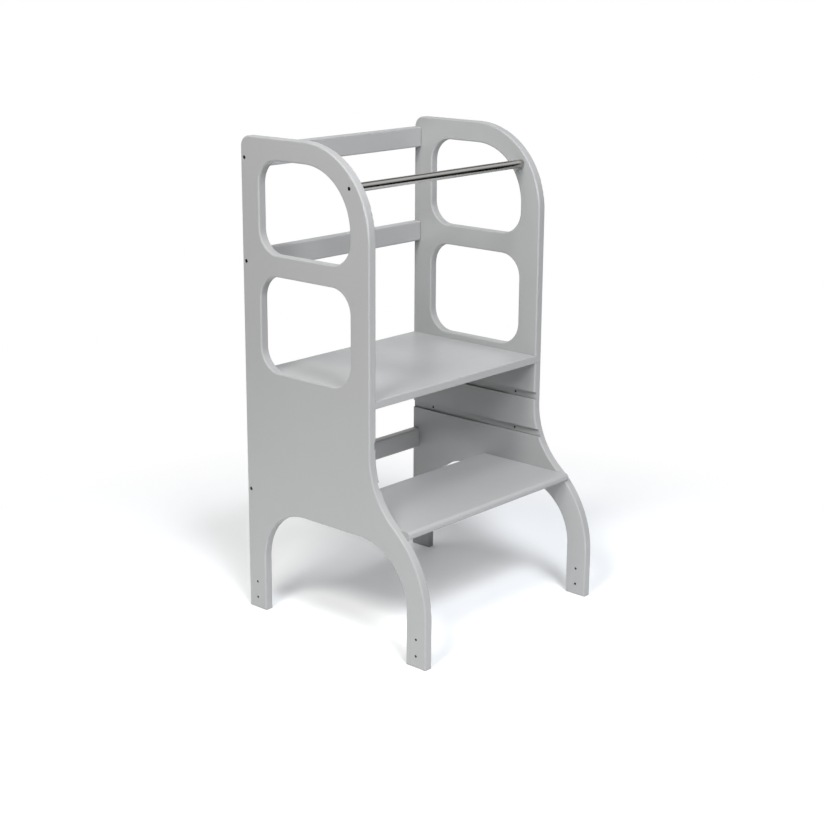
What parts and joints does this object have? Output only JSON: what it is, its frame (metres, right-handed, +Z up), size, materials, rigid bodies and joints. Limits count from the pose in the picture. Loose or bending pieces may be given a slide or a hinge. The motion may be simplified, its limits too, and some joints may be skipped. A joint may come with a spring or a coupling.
{
  "type": "toddler kitchen helper stool",
  "caption": "Standing tower for a small child: cut-out side panels, a platform let into grooves, a lower step, back rails and a steel handrail across the front.",
  "frame": {"origin": "on the floor, midway between the side panels and midway between the front and back edges of the feet", "axes": "+Z up, +Y to the back (the side with the rails), -Y to the front where the child climbs in, +X to the side panel on the right of someone who stands in front and looks along +Y"},
  "size_m": [0.492, 0.454, 0.91],
  "materials": {
    "painted_board": "satin light grey lacquer on birch board, all edges rounded",
    "handrail_steel": "fine brushed stainless steel tube",
    "screw_steel": "zinc-plated steel",
    "black_screw_steel": "black oxide on steel",
    "cam_zinc": "die-cast zinc",
    "dowel_beech": "plain beech dowel"
  },
  "bodies": {
    "root": {"left_side_panel": "painted_board", "right_side_panel": "painted_board", "platform": "painted_board", "lower_step": "painted_board", "top_back_rail": "painted_board", "middle_back_rail": "painted_board", "lower_back_rail": "painted_board", "handrail_tube": "handrail_steel", "left_handrail_plug": "screw_steel", "right_handrail_plug": "screw_steel", "left_handrail_screw": "black_screw_steel", "right_handrail_screw": "black_screw_steel", "top_rail_screws": "black_screw_steel", "middle_rail_screws": "black_screw_steel", "lower_rail_screws": "black_screw_steel", "top_rail_dowels": "dowel_beech", "middle_rail_dowels": "dowel_beech", "lower_rail_dowels": "dowel_beech", "platform_cam_bolts": "screw_steel", "platform_cams": "cam_zinc", "step_cam_bolts": "screw_steel", "step_cams": "cam_zinc"}
  },
  "joints": []
}
